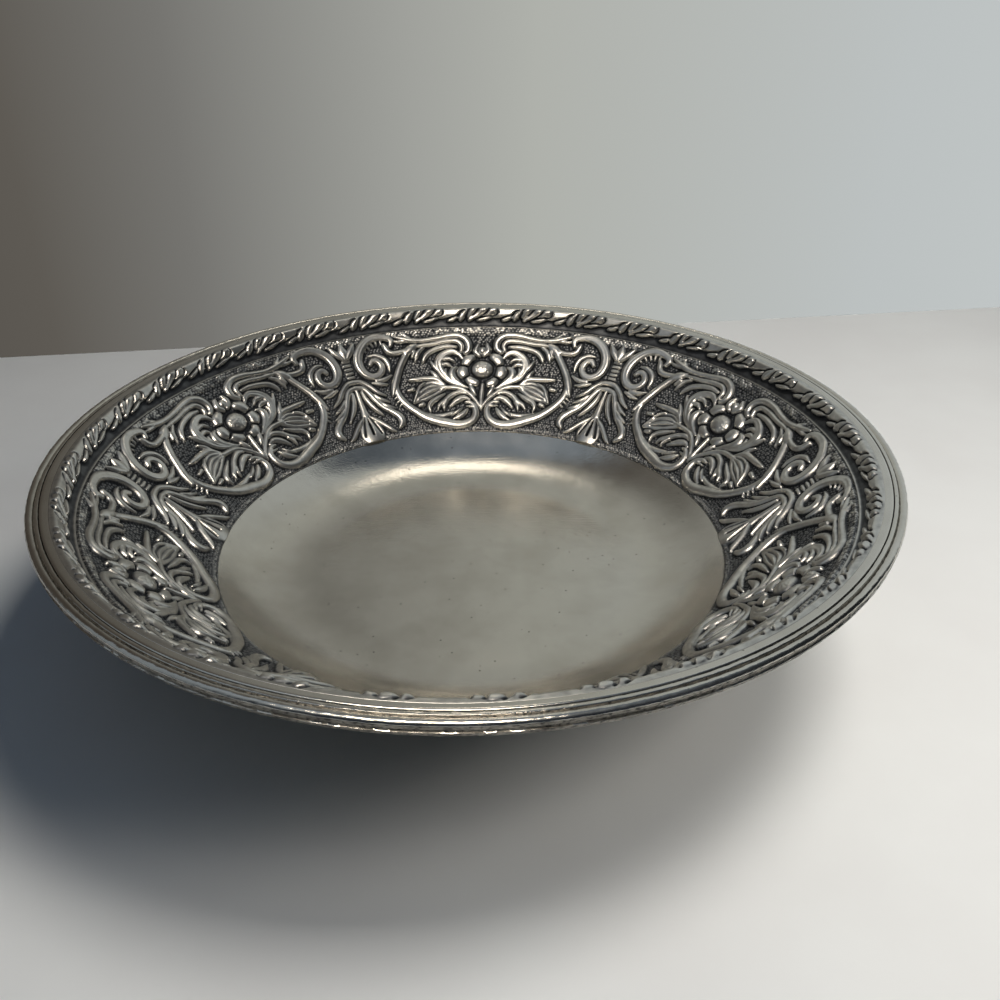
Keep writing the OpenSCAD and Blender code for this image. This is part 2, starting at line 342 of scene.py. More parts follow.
def buffed_metal():
    """Soft mirror with cloudy patches, a faint grain along the buffing, shallow dents and dark pits."""
    material, tree = new_material("buffed cast aluminium")
    place = millimetres(tree)
    cloud = add(tree, "ShaderNodeTexNoise", {"Vector": place, "Scale": 1 / CLOUD_SIZE, "Detail": 6.0}).outputs[0]
    fine = add(tree, "ShaderNodeTexNoise", {"Vector": place, "Scale": 1 / FINE_GRAIN, "Detail": 4.0}).outputs[0]
    along = add(tree, "ShaderNodeMapping", {
        "Vector": place, "Rotation": (0, 0, BUFFING_TURN), "Scale": BUFFING_STRETCH}).outputs[0]
    streak = add(tree, "ShaderNodeTexNoise", {"Vector": along, "Scale": 1 / STREAK_WIDE, "Detail": 3.0}).outputs[0]
    speck = add(tree, "ShaderNodeTexVoronoi", {"Vector": place, "Scale": 1 / PIT_SPACING}).outputs["Distance"]
    pit_and_gap_shade = add(tree, "ShaderNodeMapRange", {0: speck, 1: 0.03, 2: 0.09, 3: 1.0, 4: 0.0}).outputs[0]
    dent = add(tree, "ShaderNodeTexNoise", {"Vector": place, "Scale": 1 / DENT_SIZE, "Detail": 2.0}).outputs[0]
    skin = add(tree, "ShaderNodeMath", {0: fine, 1: streak}, operation="ADD").outputs[0]
    hammered = add(tree, "ShaderNodeBump", {"Height": dent, "Strength": 0.1, "Distance": 0.5 * MM}).outputs[0]
    relief = add(tree, "ShaderNodeBump", {
        "Height": skin, "Normal": hammered, "Strength": 0.16, "Distance": 0.2 * MM}).outputs[0]
    rough = add(tree, "ShaderNodeMapRange", {0: cloud, 1: 0.3, 2: 0.7, 3: 0.14, 4: 0.22}).outputs[0]
    tone = add(tree, "ShaderNodeValToRGB", {0: cloud}, ((0.3, WHITE_METAL_DULL), (0.6, WHITE_METAL))).outputs[0]
    pitted_and_gap_shaded = add(tree, "ShaderNodeMix", {0: pit_and_gap_shade, 6: tone, 7: linear(PIT_COLOUR)}, data_type="RGBA").outputs[2]
    shader = add(tree, "ShaderNodeBsdfPrincipled", {
        "Base Color": pitted_and_gap_shaded, "Metallic": 1.0, "Roughness": rough, "Normal": relief})
    add(tree, "ShaderNodeOutputMaterial", {0: shader.outputs[0]})
    return material


BUFFED = buffed_metal()
print("made", BUFFED.name)

# %% [markdown]
# The outside, the foot and the side of the rim were left much as they came out of the sand: a duller, grainy
# skin that scatters the light. Grains of a millimetre could be modelled, but there would be a hundred thousand of
# them, so they are bumps in the material, with a speck of painted shade where two grains leave a gap.

# %% Sand-cast white metal
CAST_METAL, CAST_METAL_DARK, CAST_GAP_SHADE = "#918e87", "#6b6964", "#2c2c2d"
SAND_GRAIN, SKIN_PATCH = 1.3, 7


def sand_cast_metal():
    """Dull skin that scatters the light, with painted shade in specks between the grains and slow patches of tone.
    """
    material, tree = new_material("sand-cast aluminium")
    place = millimetres(tree)
    grain = add(tree, "ShaderNodeTexNoise", {"Vector": place, "Scale": 1 / SAND_GRAIN, "Detail": 5.0}).outputs[0]
    patch = add(tree, "ShaderNodeTexNoise", {"Vector": place, "Scale": 1 / SKIN_PATCH, "Detail": 4.0}).outputs[0]
    rough = add(tree, "ShaderNodeMapRange", {0: grain, 1: 0.3, 2: 0.7, 3: 0.6, 4: 0.36}).outputs[0]
    relief = add(tree, "ShaderNodeBump", {"Height": grain, "Strength": 0.6, "Distance": 0.5 * MM}).outputs[0]
    tone = add(tree, "ShaderNodeValToRGB", {0: patch}, ((0.35, CAST_METAL_DARK), (0.6, CAST_METAL))).outputs[0]
    # painted shade: the low places of the grain are coloured dark, standing in for the shade in the gaps
    pit_and_gap_shade = add(tree, "ShaderNodeMapRange", {0: grain, 1: 0.34, 2: 0.5, 3: 0.85, 4: 0.0}).outputs[0]
    pitted_and_gap_shaded = add(tree, "ShaderNodeMix", {0: pit_and_gap_shade, 6: tone, 7: linear(CAST_GAP_SHADE)}, data_type="RGBA").outputs[2]
    shader = add(tree, "ShaderNodeBsdfPrincipled", {
        "Base Color": pitted_and_gap_shaded, "Metallic": 1.0, "Roughness": rough, "Normal": relief})
    add(tree, "ShaderNodeOutputMaterial", {0: shader.outputs[0]})
    return material


SAND_CAST = sand_cast_metal()
print("made", SAND_CAST.name)

# %% [markdown]
# The scrollwork and the leaves were darkened all over with a grey stain, and the high places were then wiped
# and buffed bright. A material can't tell a crest from a hollow by itself, so two numbers at each point of the
# carved mesh carry that: how bare the point was wiped, and how deep it sits in a crevice. The stain is darker,
# rougher and less metallic than the bare metal. The crevice number darkens the colour further, partly as stain
# gathered in the crevices and partly as painted shade.

# %% Antiqued white metal
STAIN, STAIN_THIN, WIPED_METAL = "#272a2e", "#656769", "#cbcac5"
BLOT_SIZE, STAIN_GRAIN = 3.5, 0.7


def antiqued_metal():
    """Dark, dull stain and painted crevice shade in the depths, giving way to bare satin metal on the crests, with
    uneven edges.
    """
    material, tree = new_material("antiqued cast aluminium")
    place = millimetres(tree)
    wiped = add(tree, "ShaderNodeAttribute", attribute_name="relief").outputs["Fac"]
    crevice_stain_and_shade = add(tree, "ShaderNodeAttribute", attribute_name="hollow").outputs["Fac"]
    blot = add(tree, "ShaderNodeTexNoise", {"Vector": place, "Scale": 1 / BLOT_SIZE, "Detail": 4.0}).outputs[0]
    grain = add(tree, "ShaderNodeTexNoise", {"Vector": place, "Scale": 1 / STAIN_GRAIN, "Detail": 3.0}).outputs[0]
    # painted shade: the crevice number, part gathered stain and part shade, lowers how bare the metal looks
    shadow = add(tree, "ShaderNodeMath", {0: wiped, 1: crevice_stain_and_shade}, operation="SUBTRACT").outputs[0]
    uneven = add(tree, "ShaderNodeMapRange", {0: blot, 1: 0.3, 2: 0.7, 3: -0.16, 4: 0.1}).outputs[0]
    bare = add(tree, "ShaderNodeMath", {0: shadow, 1: uneven}, operation="ADD", use_clamp=True).outputs[0]
    tone = add(tree, "ShaderNodeValToRGB", {0: bare}, zip((0.0, 0.5, 1.0), (STAIN, STAIN_THIN, WIPED_METAL)))
    rough = add(tree, "ShaderNodeMapRange", {0: bare, 3: 0.5, 4: 0.32}).outputs[0]
    metal = add(tree, "ShaderNodeMapRange", {0: bare, 3: 0.8, 4: 1.0}).outputs[0]
    relief = add(tree, "ShaderNodeBump", {"Height": grain, "Strength": 0.15, "Distance": 0.2 * MM}).outputs[0]
    shader = add(tree, "ShaderNodeBsdfPrincipled", {
        "Base Color": tone.outputs[0], "Metallic": metal, "Roughness": rough, "Normal": relief})
    add(tree, "ShaderNodeOutputMaterial", {0: shader.outputs[0]})
    return material


ANTIQUED = antiqued_metal()
print("made", ANTIQUED.name)

# %% [markdown]
# Every plain ring is turned as on a lathe. Stacked cylinders would need many cuts; a section that goes once round
# gives the whole ring. A ring of edges is added and its corners are pulled onto the section's outline, spin
# carries it round the axis, and the meeting ends are merged. Where an outline starts and ends on the axis, the
# edge that would lie on it goes first, so that the poles close cleanly.

# %% Lathe
LATHE_STEPS = 288


def arc(centre, radius, start, end, points):
    """Points on a circle of the section, between two angles in degrees."""
    turns = np.radians(np.linspace(start, end, points))
    return [(centre[0] + radius * math.cos(a), centre[1] + radius * math.sin(a)) for a in turns]


def lathe(name, outline, steps=LATHE_STEPS):
    """Turns an outline of (radius, height) corners, in millimetres, into a closed skin round the axis."""
    bpy.ops.object.select_all(action="DESELECT")
    bpy.ops.mesh.primitive_circle_add(vertices=len(outline), radius=rim_r * MM)
    piece = bpy.context.object
    piece.name = piece.data.name = name
    section = np.array([(r, 0, z) for r, z in outline]) * MM
    piece.data.vertices.foreach_set("co", section.ravel())
    bpy.ops.object.mode_set(mode="EDIT")
    bpy.ops.mesh.select_all(action="DESELECT")
    if outline[0][0] == outline[-1][0] == 0:
        bpy.ops.object.mode_set(mode="OBJECT")
        for edge in piece.data.edges:
            edge.select = set(edge.vertices) == {0, len(outline) - 1}
        bpy.ops.object.mode_set(mode="EDIT")
        bpy.ops.mesh.select_mode(type="EDGE")
        bpy.ops.mesh.delete(type="EDGE")
        bpy.ops.mesh.select_mode(type="VERT")
    bpy.ops.mesh.select_all(action="SELECT")
    bpy.ops.mesh.spin(steps=steps, angle=2 * math.pi, center=(0, 0, 0), axis=(0, 0, 1))
    bpy.ops.mesh.select_all(action="SELECT")
    bpy.ops.mesh.remove_doubles(threshold=0.002 * MM)
    bpy.ops.mesh.normals_make_consistent(inside=False)
    bpy.ops.object.mode_set(mode="OBJECT")
    return piece


def finish(piece, node, slot, *materials):
    """Gives a piece its materials and ties it to the frame."""
    for material in materials:
        piece.data.materials.append(material)
    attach(piece, "root")
    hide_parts(node)
    print(f"{piece.name}: {len(piece.data.polygons)} faces, {', '.join(m.name for m in materials)}")


print("lathe ready")

# %% [markdown]
# The well is a shallow dish with a flat middle. Its inside is read from the frame with the plumb line and its
# outside from below, where a groove takes the foot ring. A buffing wheel leaves the floor a little wavy, and that
# is what breaks up its mirror, so a faint cloud texture pushes the skin in and out by less than a tenth of a
# millimetre.

# %% Well
WELL_WAVE, WELL_WAVE_SIZE = 0.16, 26.0
LAP_R = 108.7
BACK_FLAT_R, BACK_MIDDLE_R = 70, 30
FOOT_GROOVE_IN, FOOT_GROOVE_OUT, FOOT_GROOVE_TOP = 55.4, 60.6, 13.5
UPWARD = 0.1


def wave(piece, strength, size, middle=0.5):
    """Pushes a skin along its normals by a soft cloud pattern; sizes in millimetres."""
    cloud = bpy.data.textures.new(piece.name + "_wave", "CLOUDS")
    cloud.noise_scale = size * MM
    push = piece.modifiers.new("wave", "DISPLACE")
    push.texture = cloud
    push.texture_coords = "LOCAL"
    push.strength = strength * MM
    push.mid_level = middle
    bpy.context.view_layer.objects.active = piece
    bpy.ops.object.modifier_apply(modifier="wave")


well_back_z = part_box("well")[0].z / MM
well_lap_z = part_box("well")[1].z / MM
well_back_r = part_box("well")[1].x / MM
inside = [(r, plumb("well", max(r, 1))) for r in np.linspace(0, well_top_r - 0.05, 56)]
inside[0] = (0, floor_z)
shelf = [(well_top_r, band_foot_z), (LAP_R, band_foot_z), (LAP_R, well_lap_z), (well_back_r, well_lap_z)]
outside = [(r, plumb("well", r, below=True)) for r in np.linspace(well_back_r - 0.2, BACK_FLAT_R, 24)]
groove = [(FOOT_GROOVE_OUT, well_back_z), (FOOT_GROOVE_OUT, FOOT_GROOVE_TOP), (FOOT_GROOVE_IN, FOOT_GROOVE_TOP),
          (FOOT_GROOVE_IN, well_back_z), (BACK_MIDDLE_R, well_back_z), (0, well_back_z)]
well = lathe("well", inside + shelf + outside + groove)
wave(well, WELL_WAVE, WELL_WAVE_SIZE)
for face in well.data.polygons:
    face.material_index = int(face.normal.z < UPWARD)
bpy.ops.object.shade_smooth_by_angle(angle=math.radians(40))
finish(well, "well", "polished_metal", BUFFED, SAND_CAST)

# %% [markdown]
# The foot ring carries the bowl and is hidden under it. It is a plain band with a slight lean, so four corners
# turned on the lathe are enough. No cast corner is sharp, and a bevel rounds them all at once.

# %% Foot ring
FOOT_SOFT = 0.8


def soften(piece, width, segments=3):
    """Rounds the corners of a skin."""
    bevel = piece.modifiers.new("soften", "BEVEL")
    bevel.width = width * MM
    bevel.segments = segments
    bevel.limit_method = "ANGLE"
    bevel.angle_limit = math.radians(30)
    bpy.context.view_layer.objects.active = piece
    bpy.ops.object.modifier_apply(modifier="soften")


foot_in, foot_out = inner_radius("foot_ring", 0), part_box("foot_ring")[1].x / MM
foot_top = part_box("foot_ring")[1].z / MM
foot_neck = inner_radius("foot_ring", foot_top)
foot_wall = foot_out - foot_in
foot_ring = lathe("foot_ring", [
    (foot_in, 0), (foot_out, 0), (foot_neck + foot_wall, foot_top), (foot_neck, foot_top)])
soften(foot_ring, FOOT_SOFT)
bpy.ops.object.shade_smooth_by_angle(angle=math.radians(40))
finish(foot_ring, "foot_ring", "cast_metal", SAND_CAST)

# %% [markdown]
# The flange is the flat of the rim, buffed like the well. Its section is a slab with an eased outer corner, and it
# dips a little towards the leaves. Both are short runs of points, given as distances in from a corner and down.

# %% Rim flange
FLANGE_DIP = 0.35
FLANGE_EASE = ((0, 0.5), (0.2, 0.15), (0.6, 0))
FLANGE_FALL = ((1.8, 0.08), (0.9, 0.19), (0, FLANGE_DIP))
ledge_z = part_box("rim_flange")[0].z / MM
flange_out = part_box("rim_flange")[1].x / MM
rim_flange = lathe("rim_flange", [(land_r, ledge_z), (flange_out, ledge_z)]
                   + [(flange_out - inward, rim_z - down) for inward, down in FLANGE_EASE]
                   + [(land_r + outward, rim_z - down) for outward, down in FLANGE_FALL])
bpy.ops.object.shade_smooth_by_angle(angle=math.radians(50))
finish(rim_flange, "rim_flange", "polished_metal", BUFFED)

# %% [markdown]
# The moulded edge is a thin, low bead, a channel and a thick outer roll, over a side that leans in. The bead and
# the roll are arcs. The top was buffed with the flange, and the side was left rough: faces that look sideways
# take the sand-cast skin, and a fine cloud texture eats a little into the whole ring, so that its edge sparkles.

# %% Moulded edge
BEAD_W, BEAD_HIGH = 1.5, 0.28
RIM_CHANNEL = 0.45
ROLL_UNDERCUT = 0.7
UNDERCUT_SHARES, SIDE_SHARE = (0.45, 0.55), 0.62
SIDE_IN = 0.25
EDGE_LEDGE_R, EDGE_FOOT_R = 163.0, 164.3
RIM_STEPS = 1080
RIM_ROUGH, RIM_ROUGH_SIZE = 0.28, 2.2
TOP_FACING = 0.35
rim_under_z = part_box("rim_edge")[0].z / MM
channel_z = rim_z - RIM_CHANNEL
roll_w = rim_r - flange_r - BEAD_W
roll_at = (rim_r - roll_w / 2, rim_z - roll_w / 2)
bead_at = (flange_r + BEAD_W / 2, rim_z - BEAD_W / 2)
side_z = roll_at[1] - SIDE_SHARE * roll_w
bead = [(r, rim_z + (z - rim_z) * BEAD_HIGH) for r, z in arc(bead_at, BEAD_W / 2, 170, 10, 7)]
undercut = [(rim_r - ROLL_UNDERCUT, roll_at[1] - share * roll_w) for share in UNDERCUT_SHARES]
side = [(rim_r - SIDE_IN + (EDGE_FOOT_R - rim_r) * t, side_z + (rim_under_z - side_z) * t)
        for t in (0, 0.25, 0.5, 0.75, 1)]
rim_edge = lathe("rim_edge", [(flange_r, ledge_z), (flange_r, channel_z)] + bead
                 + [(flange_r + BEAD_W + 0.1, channel_z)] + arc(roll_at, roll_w / 2, 150, -20, 11) + undercut + side
                 + [(EDGE_LEDGE_R, rim_under_z), (EDGE_LEDGE_R, ledge_z)], steps=RIM_STEPS)
for face in rim_edge.data.polygons:
    face.material_index = int(face.normal.z < TOP_FACING)
wave(rim_edge, RIM_ROUGH, RIM_ROUGH_SIZE, middle=1.0)
bpy.ops.object.shade_smooth_by_angle(angle=math.radians(60))
finish(rim_edge, "rim_edge", "cast_metal", BUFFED, SAND_CAST)

# %% [markdown]
# The scrollwork is too fine to extrude by hand, so it is drawn with strokes, the way a carver lays it out. A
# stroke is a smooth curve through a few points, and each point gives the place and the width of the stroke.
# The drawing is the band laid out flat, in millimetres: u runs along the band from the middle of a flower
# panel, and v runs up the slope from the foot of the band. One half is drawn, and mirrored. Three tools work
# on it in turn: one raises a ridge, one cuts a vein into what stands there, and one sets a round boss.

# %% Drawing tools
DRAWING_R = 129.5
PANEL_HALF = DRAWING_R * math.pi / PANELS
BOTH = (1, -1)
carving_steps = []


def motif(height, *strokes, groove=0.0, sides=BOTH):
    """Raises strokes of (u, v, width) points to a height, on one side of the panel or both."""
    carving_steps.append(("raise", height, groove, sides, strokes))


def cut(depth, *strokes):
    """Cuts strokes into what the steps before have raised."""
    carving_steps.append(("cut", depth, 0.0, BOTH, strokes))


def boss(height, centre, size):
    """Sets a round boss of two half widths."""
    carving_steps.append(("boss", height, 0.0, BOTH, (centre, size)))


def hanging(*points):
    """A stroke of the pendant, drawn from the pendant's own middle line."""
    return [(PANEL_HALF - x, v, w) for x, v, w in points]


print(f"half a panel is {PANEL_HALF:.1f} mm long")

# %% [markdown]
# A large C-scroll frames each panel. It curls in at the bottom beside the stem, swells along the foot of the
# band and climbs to a knuckle near the top, with a fan of short ribs on its shoulder.

# %% Frame scroll
motif(2.2,
    [(9.4, 16.5, 1.8), (6.4, 16.4, 2.8), (4.0, 13.8, 3.8), (3.7, 9.8, 4.4), (5.6, 6.4, 4.8), (9.8, 4.6, 5.0),
     (15, 4.1, 5.2), (21, 4.9, 5.6), (27, 6.8, 5.6), (33, 9.6, 5.2), (38.2, 13.2, 4.8), (42.4, 17.4, 4.6),
     (45.2, 22, 4.4), (46.2, 26, 3.6), (45.6, 30, 2.0)],
    [(36.2, 48.4, 3.6), (38.8, 44.6, 3.8), (41.8, 39.8, 3.9), (44.6, 34.6, 4.1), (46.8, 29.4, 4.2),
     (48.8, 24.6, 2.2)])
motif(1.2,
    [(15.0, 11.4, 1.2), (19.0, 10.2, 2.4), (24, 9.6, 2.8), (29, 10.2, 2.8), (34.5, 12.4, 2.4), (39, 16.4, 1.2)])
motif(1.6, *[[(46.2 - 0.16 * k * k, 25.4 - 2.1 * k, 2.0), (48.9 - 0.2 * k * k, 24.6 - 2.4 * k, 1.0)]
             for k in range(4)])
motif(2.0,
    [(8.6, 12.6, 1.8), (10.4, 10.6, 3.4), (13, 8.6, 3.4), (16.8, 6.9, 1.2)],
    [(11.4, 13.2, 1.2), (13.8, 11.2, 2.4), (17.4, 9.2, 1.0)],
    [(5.6, 14.2, 2.0), (9.0, 14.4, 1.0)])
print("frame scroll drawn")

# %% [markdown]
# In the middle a flower stands on a stem: a pebbled boss, petals round it and a bud on top. Two side stems
# leave its foot and end in a ribbed tulip, with fronds below.

# %% Flower, stems and tulips
FLOWER_V = 35.5
FLOWER_WIDE, FLOWER_TALL = 1.06, 0.94


def round_flower(angle, out, width):
    """A point of a stroke, by its angle from the top and its distance from the middle of the flower."""
    turn = math.radians(angle)
    return FLOWER_WIDE * out * math.sin(turn), FLOWER_V + FLOWER_TALL * out * math.cos(turn), width


def petal(middle, reach, width, out):
    """A stroke that lies round the flower's boss, with its middle at an angle from the top."""
    widths = (0.75 * width, width, 0.75 * width)
    return [round_flower(middle + k * reach, out, w) for k, w in zip((-1, 0, 1), widths)]


motif(2.0,
    [(0, 12.4, 1.4), (0, 15, 2.8), (0, 19.5, 3.0), (0, 26.5, 3.2)],
    [(0.9, 14.2, 1.8), (3.0, 17.6, 2.6), (6.4, 21, 2.8), (10.6, 23.8, 2.8), (15.2, 25.3, 2.8), (20.5, 26.0, 2.8)],
    [(3.0, 20.8, 1.2), (4.8, 23.6, 3.2), (6.6, 26.6, 1.4)])
motif(2.3, petal(50, 13, 6.6, 9.2), petal(98, 13, 6.8, 9.4), petal(146, 13, 6.2, 9.0))
cut(2.0, *[[round_flower(a, r, w) for r, w in ((6.4, 0.8), (9.0, 0.9), (12.4, 1.4))] for a in (74, 122, 172)])
motif(2.4, [(1.2, 43.4, 2.4), (3.0, 46.0, 3.6), (2.0, 49.8, 2.4)])
boss(2.5, (0, 46.2), (2.3, 2.8))
cut(1.6, [(0, 41.4, 1.2), (3.8, 40.5, 1.2), (6.6, 37.6, 1.2), (6.8, 34.0, 1.2), (4.4, 30.6, 1.2), (0, 29.4, 1.2)])
boss(3.0, (0, FLOWER_V), (6.0, 5.3))
motif(2.1,
    [(20.2, 26, 3.2), (23.6, 26, 7.2), (27.6, 25, 9.8), (31.6, 23.2, 9.6), (34.8, 21, 6.2), (38.2, 18.2, 1.8)])
motif(2.4, [(30.6, 28.8, 1.4), (33.6, 26.8, 2.6), (36.0, 23.2, 2.8), (38.6, 18.2, 1.2)])
motif(2.0,
    [(20.6, 27.4, 1.8), (24.8, 30.6, 3.4), (30.4, 31.4, 3.4), (35, 31.7, 3.0), (38.6, 31.9, 1.8)],
    [(22.4, 29.4, 1.4), (25.0, 32.8, 2.8), (27.0, 35.6, 1.3)],
    [(37.8, 26.2, 2.8), (40.4, 25.8, 2.2)],
    [(33.6, 16.8, 2.8), (35.8, 16.2, 2.2)])
cut(0.6,
    [(22.4, 26.8, 0.8), (27, 27.8, 1.4), (32, 26.2, 1.3), (35, 24, 0.6)],
    [(22.4, 25.8, 0.8), (27.4, 25.2, 1.4), (32, 23.4, 1.3), (35.4, 21, 0.6)],
    [(22.8, 24.8, 0.8), (27, 22.6, 1.4), (31.4, 20.9, 1.3), (35, 19.6, 0.6)])
motif(2.0,
    [(6.8, 18.2, 1.4), (10.4, 19.0, 3.2), (14.2, 17.6, 3.8), (18.2, 14.3, 1.6)],
    [(8.4, 21.1, 1.2), (12.8, 22.2, 2.8), (17.2, 20.9, 3.2), (20.8, 18.0, 3.3), (24.2, 15.8, 2.8),
     (25.8, 13.3, 1.4)],
    [(19.6, 17.6, 2.2), (21.4, 15.2, 2.6), (21.8, 12.6, 1.3)],
    [(20.4, 22.4, 1.2), (24.6, 20.0, 2.8), (28.6, 17.8, 3.2), (30.6, 15.2, 2.8), (30.2, 12.6, 1.4)])
print("flower drawn")

# %% [markdown]
# Beside the flower a curled leaf rises on each side, and over it a long leafy scroll leans from the bud to
# the knuckle of the frame.

# %% Curled leaves and top scroll
motif(2.3,
    [(7.6, 24.8, 1.4), (11.6, 26.8, 2.6), (16, 28.8, 3.4), (19.8, 31.8, 4.2), (22.2, 36, 4.8), (22.0, 40.6, 4.8),
     (19.2, 44.2, 4.4), (15.2, 45.8, 3.6), (12.0, 44.4, 2.6), (10.4, 42.2, 1.4)], groove=0.18)
motif(2.0,
    [(22.8, 34.4, 2.4), (25.0, 38, 2.6), (26.4, 41.2, 1.2)],
    [(20.6, 38.4, 2.8), (17.8, 38.9, 2.8), (15.6, 37.6, 1.4)],
    [(19.6, 41.6, 2.8), (16.4, 41.9, 2.6), (14.0, 40.2, 1.4)])
motif(2.2,
    [(8.4, 25.2, 1.2), (11.8, 27.5, 2.8), (14.8, 30.4, 4.2), (15.8, 33.4, 4.4), (14.8, 36.0, 3.2),
     (13.0, 37.2, 1.6)],
    [(14.4, 28.0, 1.2), (18.0, 30.8, 2.2), (19.3, 33.6, 2.2), (18.8, 36.2, 1.3)])
motif(2.5,
    [(8.8, 45.2, 2.8), (7.0, 46.8, 3.4), (6.5, 49.8, 3.9), (8.2, 53.0, 4.1), (12, 54.9, 4.1), (17, 55.1, 3.8),
     (23, 54.2, 3.4), (29, 53.3, 3.2), (34, 53.6, 3.6), (38, 55, 3.2), (42, 57.0, 1.5)])
motif(2.2,
    [(10.8, 46.2, 2.4), (10.4, 49.2, 2.8), (12.8, 51.6, 3.0), (18, 52.0, 3.0), (24, 51.2, 2.8), (30, 50.6, 2.4),
     (35.4, 49.9, 1.9)])
motif(1.9,
    [(13.4, 48.6, 2.0), (17.4, 49.0, 3.0), (22, 48.4, 3.2), (26.4, 46.6, 3.2), (29.2, 43.8, 2.6),
     (30.4, 41.2, 1.3)],
    [(28.8, 49.4, 1.6), (31.8, 47.3, 2.6), (33.2, 44.6, 2.3), (34.0, 42.0, 1.1)])
motif(2.0,
    [(35.2, 55.2, 2.4), (37.4, 57.6, 1.2)],
    [(37, 53.6, 2.4), (40.8, 54.0, 2.0), (43.2, 55.0, 1.0)])
print("leaves drawn")

# %% [markdown]
# Between two panels hangs a pendant of strands with a bell at its foot. A volute turns in on either side of
# it, one of the two with a row of teeth, and a chain of small beads joins the pendant to a bud at the top.

# %% Volutes and pendant
motif(2.5,
    [(32.6, 50.8, 2.4), (35.4, 49, 5.2), (37.6, 47, 4.4)],
    [(33.8, 47.2, 2.4), (35.2, 44.2, 1.8)])
motif(2.2,
    [(36.6, 48.5, 3.2), (40.4, 47.7, 3.4), (44, 47.9, 3.4), (46.2, 49.5, 3.3), (47, 51.8, 3.2), (47.6, 53.4, 2.4)])
motif(2.4,
    [(44.4, 52.6, 2.4), (43.9, 55.2, 3.2), (46, 57.0, 3.7), (50, 57.8, 4.3), (54.6, 56.8, 4.7), (58.6, 53.4, 4.9),
     (61.2, 48.8, 5.0), (62.0, 43.8, 5.0), (60.8, 39.4, 4.8), (57.9, 36.8, 4.5), (54.4, 36.5, 4.2),
     (51.9, 38.5, 3.8), (51.2, 41.6, 3.6), (52.6, 44.5, 3.4), (55, 45.2, 3.3), (56.6, 43.4, 2.6)], groove=0.12)
motif(1.7,
    [(47.8, 38.0, 1.2), (47.6, 41.8, 2.6), (49.0, 45.6, 3.0), (52.6, 48.0, 2.8), (56.0, 48.2, 1.3)],
    [(55.6, 33.9, 2.4), (51.4, 33.8, 2.9), (47.4, 35.6, 1.3)],
    [(58, 33.0, 1.8), (53.8, 31.4, 2.6), (50.2, 30.8, 1.2)])
motif(1.6, *[[(48.6 + 2.6 * k, 56.6 - 0.28 * k * k, 1.9), (48.8 + 2.0 * k, 53.8 - 0.2 * k * k, 1.0)]
             for k in range(5)], sides=(-1,))
motif(2.1,
    hanging((0, 35.2, 3.2), (3.6, 34.5, 3.2), (7.2, 31.6, 3.1), (10.6, 27.4, 2.9), (14.8, 24.6, 1.3)),
    hanging((0, 32.0, 2.9), (3.8, 30.8, 3.1), (6.4, 27.0, 3.2), (8.6, 22.4, 3.2), (11.8, 18.2, 3.3),
            (15.8, 15.2, 3.8), (19.0, 12.0, 4.6), (19.8, 8.6, 4.6), (17.8, 6.0, 2.4)),
    hanging((8.4, 26.2, 1.4), (11.2, 23.0, 2.8), (15.6, 20.8, 1.3)),
    hanging((10.2, 21.6, 1.4), (13.2, 18.9, 2.8), (17.6, 17.2, 1.3)),
    hanging((2.5, 29, 1.8), (3.6, 24.2, 2.9), (6.1, 19.0, 3.0), (10.2, 14.0, 1.4)))
motif(2.2, hanging((0, 30.4, 2.2), (0, 24, 2.8), (0, 17.4, 4.2), (0, 12, 8), (0, 7.6, 13), (0, 5.2, 15)))
motif(1.9, hanging((1.2, 14.6, 2.4), (5.0, 12.0, 3.1), (8.6, 8.8, 3.1), (12, 5.6, 2.9), (15, 3.8, 1.3)))
cut(0.8,
    hanging((0, 13, 0.6), (0, 9, 1.6), (0, 4.6, 1.6)),
    hanging((1.2, 15, 0.6), (3.2, 9.8, 1.5), (5.2, 4.4, 1.5)))
motif(2.3,
    hanging((0, 48.8, 3.0), (0, 52.4, 5.0), (0, 56.8, 1.6)),
    hanging((1.2, 49.0, 2.6), (3.8, 52.6, 3.8), (6.0, 56.2, 1.4)))
motif(1.1, *[hanging((0, 38.2 + 2.3 * k, 1.9), (1.5, 38.2 + 2.3 * k, 1.7)) for k in range(5)])
print("pendant drawn,", sum(len(step[4]) for step in carving_steps), "strokes in all")

# %% [markdown]
# Now the strokes become ridges. A stroke is sampled along a smooth curve, and each point of the field asks how far
# it is from the nearest sample, in half widths. That gives a rounded ridge, a little lower where the stroke is
# narrow, and a second number, how near the point is to the stroke's crest, which later says how bare it was wiped.
# Bevelled curves laid on the band would be quicker, but they would lie on it like pipes.

# %% Strokes into ridges
FULLNESS = 1.08
SAMPLE = 0.3
NARROW_HIGH = 0.45
GROOVE_WIDE = 0.28


def spline(points):
    """Smooth curve through points, sampled evenly; every column of a point is carried along."""
    p = np.array(points, float)
    if len(p) == 2:
        p = np.array([p[0], p.mean(0), p[1]])
    p = np.vstack([2 * p[0] - p[1], p, 2 * p[-1] - p[-2]])
    curve = []
    for a, b, c, d in zip(p, p[1:], p[2:], p[3:]):
        t = np.arange(0, 1, 1 / max(2, int(np.hypot(*(c - b)[:2]) / SAMPLE)))[:, None]
        curve.append(b + 0.5 * t * (c - a + t * (2 * a - 5 * b + 4 * c - d + t * (3 * b - a - 3 * c + d))))
    return np.vstack(curve + [p[-2:-1]])


